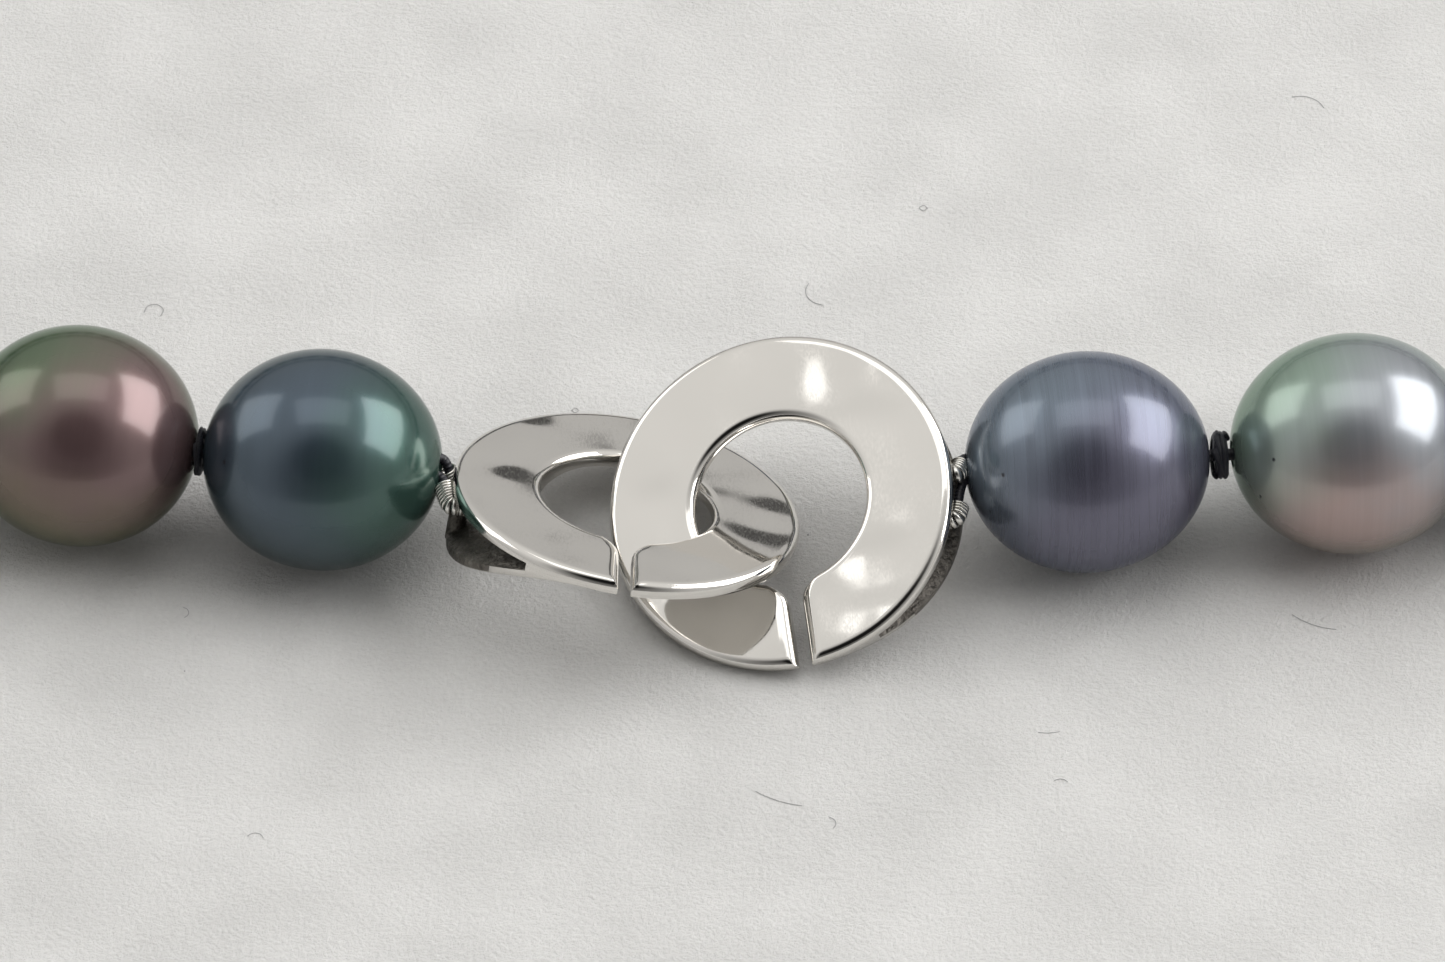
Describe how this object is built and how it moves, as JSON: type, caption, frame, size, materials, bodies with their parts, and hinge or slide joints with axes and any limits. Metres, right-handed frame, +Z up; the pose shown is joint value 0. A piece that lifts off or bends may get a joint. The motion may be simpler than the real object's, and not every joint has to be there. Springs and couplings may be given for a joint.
{
  "type": "pearl necklace",
  "caption": "Knotted strand of dark cultured pearls, lying closed, with two interlinked open ring halves in white metal as its clasp.",
  "frame": {"origin": "middle of the necklace footprint, on the surface that it lies on", "axes": "+X along the strand at the clasp, from its left ring to its right ring; +Y from the clasp towards the largest pearl; +Z up"},
  "size_m": [0.1674, 0.1318, 0.0112],
  "materials": {
    "nacre_peacock": "dark nacre, lustrous",
    "nacre_aubergine": "dark nacre, lustrous",
    "nacre_slate": "dark nacre, lustrous",
    "nacre_pistachio": "dark nacre, lustrous",
    "nacre_midnight": "dark nacre, lustrous",
    "nacre_silver": "dark nacre, lustrous",
    "silk": "black twisted silk",
    "clasp_metal": "polished white metal",
    "bullion": "fine coiled silver wire"
  },
  "bodies": {
    "pearl_37": {"pearl_37": "nacre_slate", "silk_thread": "silk"},
    "pearl_36": {"pearl_36": "nacre_silver"},
    "pearl_35": {"pearl_35": "nacre_midnight"},
    "pearl_34": {"pearl_34": "nacre_slate"},
    "pearl_33": {"pearl_33": "nacre_aubergine"},
    "pearl_32": {"pearl_32": "nacre_silver"},
    "pearl_31": {"pearl_31": "nacre_peacock"},
    "pearl_30": {"pearl_30": "nacre_slate"},
    "pearl_29": {"pearl_29": "nacre_midnight"},
    "pearl_28": {"pearl_28": "nacre_pistachio"},
    "pearl_27": {"pearl_27": "nacre_peacock"},
    "pearl_26": {"pearl_26": "nacre_aubergine"},
    "pearl_25": {"pearl_25": "nacre_slate"},
    "pearl_24": {"pearl_24": "nacre_silver"},
    "pearl_23": {"pearl_23": "nacre_midnight"},
    "pearl_22": {"pearl_22": "nacre_peacock"},
    "pearl_21": {"pearl_21": "nacre_pistachio"},
    "pearl_20": {"pearl_20": "nacre_slate"},
    "pearl_19": {"pearl_19": "nacre_aubergine"},
    "pearl_18": {"pearl_18": "nacre_peacock"},
    "pearl_17": {"pearl_17": "nacre_midnight"},
    "pearl_16": {"pearl_16": "nacre_silver"},
    "pearl_15": {"pearl_15": "nacre_slate"},
    "pearl_14": {"pearl_14": "nacre_pistachio"},
    "pearl_13": {"pearl_13": "nacre_peacock"},
    "pearl_12": {"pearl_12": "nacre_aubergine"},
    "pearl_11": {"pearl_11": "nacre_midnight"},
    "pearl_10": {"pearl_10": "nacre_slate"},
    "pearl_09": {"pearl_09": "nacre_silver"},
    "pearl_08": {"pearl_08": "nacre_peacock"},
    "pearl_07": {"pearl_07": "nacre_pistachio"},
    "pearl_06": {"pearl_06": "nacre_aubergine"},
    "pearl_05": {"pearl_05": "nacre_slate"},
    "pearl_04": {"pearl_04": "nacre_midnight"},
    "pearl_03": {"pearl_03": "nacre_peacock"},
    "pearl_02": {"pearl_02": "nacre_aubergine"},
    "pearl_01": {"pearl_01": "nacre_peacock"},
    "clasp_left": {"clasp_ring_left": "clasp_metal", "french_wire_left": "bullion"},
    "clasp_right": {"clasp_ring_right": "clasp_metal", "french_wire_right": "bullion"}
  },
  "joints": [
    {"name": "knot_36", "type": "hinge", "parent": "pearl_37", "child": "pearl_36", "pos_m": [0.01429, -0.0573, 0.00455], "axis": [0, 0, 1], "range_deg": [-6, 6], "deforming": ["silk_thread"]},
    {"name": "knot_35", "type": "hinge", "parent": "pearl_36", "child": "pearl_35", "pos_m": [0.02502, -0.05598, 0.00457], "axis": [0, 0, 1], "range_deg": [-4.62, 4.62]},
    {"name": "knot_34", "type": "hinge", "parent": "pearl_35", "child": "pearl_34", "pos_m": [0.03551, -0.05384, 0.0046], "axis": [0, 0, 1], "range_deg": [-3.35, 3.35]},
    {"name": "knot_33", "type": "hinge", "parent": "pearl_34", "child": "pearl_33", "pos_m": [0.04576, -0.05055, 0.00465], "axis": [0, 0, 1], "range_deg": [-4.1, 4.1]},
    {"name": "knot_32", "type": "hinge", "parent": "pearl_33", "child": "pearl_32", "pos_m": [0.05547, -0.04574, 0.0047], "axis": [0, 0, 1], "range_deg": [-5.6, 5.6]},
    {"name": "knot_31", "type": "hinge", "parent": "pearl_32", "child": "pearl_31", "pos_m": [0.0642, -0.03915, 0.00477], "axis": [0, 0, 1], "range_deg": [-6.66, 6.66]},
    {"name": "knot_30", "type": "hinge", "parent": "pearl_31", "child": "pearl_30", "pos_m": [0.07137, -0.03075, 0.00485], "axis": [0, 0, 1], "range_deg": [-7.08, 7.08]},
    {"name": "knot_29", "type": "hinge", "parent": "pearl_30", "child": "pearl_29", "pos_m": [0.07638, -0.02076, 0.00494], "axis": [0, 0, 1], "range_deg": [-6.79, 6.79]},
    {"name": "knot_28", "type": "hinge", "parent": "pearl_29", "child": "pearl_28", "pos_m": [0.07879, -0.00973, 0.00503], "axis": [0, 0, 1], "range_deg": [-5.87, 5.87]},
    {"name": "knot_27", "type": "hinge", "parent": "pearl_28", "child": "pearl_27", "pos_m": [0.07844, 0.00169, 0.00512], "axis": [0, 0, 1], "range_deg": [-4.52, 4.52]},
    {"name": "knot_26", "type": "hinge", "parent": "pearl_27", "child": "pearl_26", "pos_m": [0.07547, 0.01286, 0.00521], "axis": [0, 0, 1], "range_deg": [-3.35, 3.35]},
    {"name": "knot_25", "type": "hinge", "parent": "pearl_26", "child": "pearl_25", "pos_m": [0.07021, 0.02328, 0.0053], "axis": [0, 0, 1], "range_deg": [-3.81, 3.81]},
    {"name": "knot_24", "type": "hinge", "parent": "pearl_25", "child": "pearl_24", "pos_m": [0.06309, 0.03268, 0.00537], "axis": [0, 0, 1], "range_deg": [-4.82, 4.82]},
    {"name": "knot_23", "type": "hinge", "parent": "pearl_24", "child": "pearl_23", "pos_m": [0.0545, 0.0409, 0.00545], "axis": [0, 0, 1], "range_deg": [-5.41, 5.41]},
    {"name": "knot_22", "type": "hinge", "parent": "pearl_23", "child": "pearl_22", "pos_m": [0.04475, 0.04786, 0.0055], "axis": [0, 0, 1], "range_deg": [-5.6, 5.6]},
    {"name": "knot_21", "type": "hinge", "parent": "pearl_22", "child": "pearl_21", "pos_m": [0.03408, 0.05345, 0.00555], "axis": [0, 0, 1], "range_deg": [-5.47, 5.47]},
    {"name": "knot_20", "type": "hinge", "parent": "pearl_21", "child": "pearl_20", "pos_m": [0.0227, 0.05754, 0.00558], "axis": [0, 0, 1], "range_deg": [-5.14, 5.14]},
    {"name": "knot_19", "type": "hinge", "parent": "pearl_20", "child": "pearl_19", "pos_m": [0.01082, 0.05996, 0.0056], "axis": [0, 0, 1], "range_deg": [-4.71, 4.71]},
    {"name": "knot_18", "type": "hinge", "parent": "pearl_19", "child": "pearl_18", "pos_m": [-0.00129, 0.06061, 0.0056], "axis": [0, 0, 1], "range_deg": [-4.23, 4.23]},
    {"name": "knot_17", "type": "hinge", "parent": "pearl_18", "child": "pearl_17", "pos_m": [-0.01335, 0.05944, 0.00558], "axis": [0, 0, 1], "range_deg": [-3.72, 3.72]},
    {"name": "knot_16", "type": "hinge", "parent": "pearl_17", "child": "pearl_16", "pos_m": [-0.02507, 0.0565, 0.00555], "axis": [0, 0, 1], "range_deg": [-3.35, 3.35]},
    {"name": "knot_15", "type": "hinge", "parent": "pearl_16", "child": "pearl_15", "pos_m": [-0.0362, 0.05193, 0.0055], "axis": [0, 0, 1], "range_deg": [-3.35, 3.35]},
    {"name": "knot_14", "type": "hinge", "parent": "pearl_15", "child": "pearl_14", "pos_m": [-0.04652, 0.04593, 0.00545], "axis": [0, 0, 1], "range_deg": [-3.76, 3.76]},
    {"name": "knot_13", "type": "hinge", "parent": "pearl_14", "child": "pearl_13", "pos_m": [-0.05586, 0.03864, 0.00537], "axis": [0, 0, 1], "range_deg": [-4.45, 4.45]},
    {"name": "knot_12", "type": "hinge", "parent": "pearl_13", "child": "pearl_12", "pos_m": [-0.06402, 0.03022, 0.0053], "axis": [0, 0, 1], "range_deg": [-4.97, 4.97]},
    {"name": "knot_11", "type": "hinge", "parent": "pearl_12", "child": "pearl_11", "pos_m": [-0.07073, 0.02077, 0.00521], "axis": [0, 0, 1], "range_deg": [-5.25, 5.25]},
    {"name": "knot_10", "type": "hinge", "parent": "pearl_11", "child": "pearl_10", "pos_m": [-0.07568, 0.01044, 0.00512], "axis": [0, 0, 1], "range_deg": [-5.23, 5.23]},
    {"name": "knot_09", "type": "hinge", "parent": "pearl_10", "child": "pearl_09", "pos_m": [-0.07851, -0.0005, 0.00503], "axis": [0, 0, 1], "range_deg": [-4.92, 4.92]},
    {"name": "knot_08", "type": "hinge", "parent": "pearl_09", "child": "pearl_08", "pos_m": [-0.07891, -0.01164, 0.00494], "axis": [0, 0, 1], "range_deg": [-4.37, 4.37]},
    {"name": "knot_07", "type": "hinge", "parent": "pearl_08", "child": "pearl_07", "pos_m": [-0.07674, -0.02243, 0.00485], "axis": [0, 0, 1], "range_deg": [-3.72, 3.72]},
    {"name": "knot_06", "type": "hinge", "parent": "pearl_07", "child": "pearl_06", "pos_m": [-0.07211, -0.03226, 0.00477], "axis": [0, 0, 1], "range_deg": [-3.35, 3.35]},
    {"name": "knot_05", "type": "hinge", "parent": "pearl_06", "child": "pearl_05", "pos_m": [-0.06537, -0.04062, 0.0047], "axis": [0, 0, 1], "range_deg": [-3.73, 3.73]},
    {"name": "knot_04", "type": "hinge", "parent": "pearl_05", "child": "pearl_04", "pos_m": [-0.05703, -0.04722, 0.00465], "axis": [0, 0, 1], "range_deg": [-4.68, 4.68]},
    {"name": "knot_03", "type": "hinge", "parent": "pearl_04", "child": "pearl_03", "pos_m": [-0.04765, -0.05202, 0.0046], "axis": [0, 0, 1], "range_deg": [-5.55, 5.55]},
    {"name": "knot_02", "type": "hinge", "parent": "pearl_03", "child": "pearl_02", "pos_m": [-0.03767, -0.05521, 0.00457], "axis": [0, 0, 1], "range_deg": [-6.28, 6.28]},
    {"name": "knot_01", "type": "hinge", "parent": "pearl_02", "child": "pearl_01", "pos_m": [-0.02755, -0.05709, 0.00455], "axis": [0, 0, 1], "range_deg": [-6.8, 6.8]},
    {"name": "clasp_left_twist", "type": "hinge", "parent": "pearl_01", "child": "clasp_left", "pos_m": [-0.01686, -0.05879, 0.00383], "axis": [-1, 0, 0], "range_deg": [0, 15], "deforming": ["silk_thread"]},
    {"name": "clasp_right_twist", "type": "hinge", "parent": "pearl_37", "child": "clasp_right", "pos_m": [0.00303, -0.05941, 0.00436], "axis": [1, 0, 0], "range_deg": [0, 15], "deforming": ["silk_thread"]}
  ],
  "couplings": [
    {"joint": "knot_35", "follows": "knot_36", "ratio": 0.76204},
    {"joint": "knot_34", "follows": "knot_36", "ratio": 0.55},
    {"joint": "knot_33", "follows": "knot_36", "ratio": -0.67487},
    {"joint": "knot_32", "follows": "knot_36", "ratio": -0.92486},
    {"joint": "knot_31", "follows": "knot_36", "ratio": -1.1011},
    {"joint": "knot_30", "follows": "knot_36", "ratio": -1.1712},
    {"joint": "knot_29", "follows": "knot_36", "ratio": -1.123},
    {"joint": "knot_28", "follows": "knot_36", "ratio": -0.96933},
    {"joint": "knot_27", "follows": "knot_36", "ratio": -0.74513},
    {"joint": "knot_26", "follows": "knot_36", "ratio": -0.55},
    {"joint": "knot_25", "follows": "knot_36", "ratio": 0.62593},
    {"joint": "knot_24", "follows": "knot_36", "ratio": 0.79462},
    {"joint": "knot_23", "follows": "knot_36", "ratio": 0.89339},
    {"joint": "knot_22", "follows": "knot_36", "ratio": 0.92436},
    {"joint": "knot_21", "follows": "knot_36", "ratio": 0.90254},
    {"joint": "knot_20", "follows": "knot_36", "ratio": 0.84773},
    {"joint": "knot_19", "follows": "knot_36", "ratio": 0.7764},
    {"joint": "knot_18", "follows": "knot_36", "ratio": 0.6972},
    {"joint": "knot_17", "follows": "knot_36", "ratio": 0.61173},
    {"joint": "knot_16", "follows": "knot_36", "ratio": -0.55},
    {"joint": "knot_15", "follows": "knot_36", "ratio": -0.55},
    {"joint": "knot_14", "follows": "knot_36", "ratio": -0.61834},
    {"joint": "knot_13", "follows": "knot_36", "ratio": -0.73324},
    {"joint": "knot_12", "follows": "knot_36", "ratio": -0.82062},
    {"joint": "knot_11", "follows": "knot_36", "ratio": -0.866},
    {"joint": "knot_10", "follows": "knot_36", "ratio": -0.86268},
    {"joint": "knot_09", "follows": "knot_36", "ratio": -0.81177},
    {"joint": "knot_08", "follows": "knot_36", "ratio": -0.71959},
    {"joint": "knot_07", "follows": "knot_36", "ratio": -0.61095},
    {"joint": "knot_06", "follows": "knot_36", "ratio": 0.55},
    {"joint": "knot_05", "follows": "knot_36", "ratio": 0.61398},
    {"joint": "knot_04", "follows": "knot_36", "ratio": 0.77158},
    {"joint": "knot_03", "follows": "knot_36", "ratio": 0.91669},
    {"joint": "knot_02", "follows": "knot_36", "ratio": 1.0389},
    {"joint": "knot_01", "follows": "knot_36", "ratio": 1.1256}
  ]
}
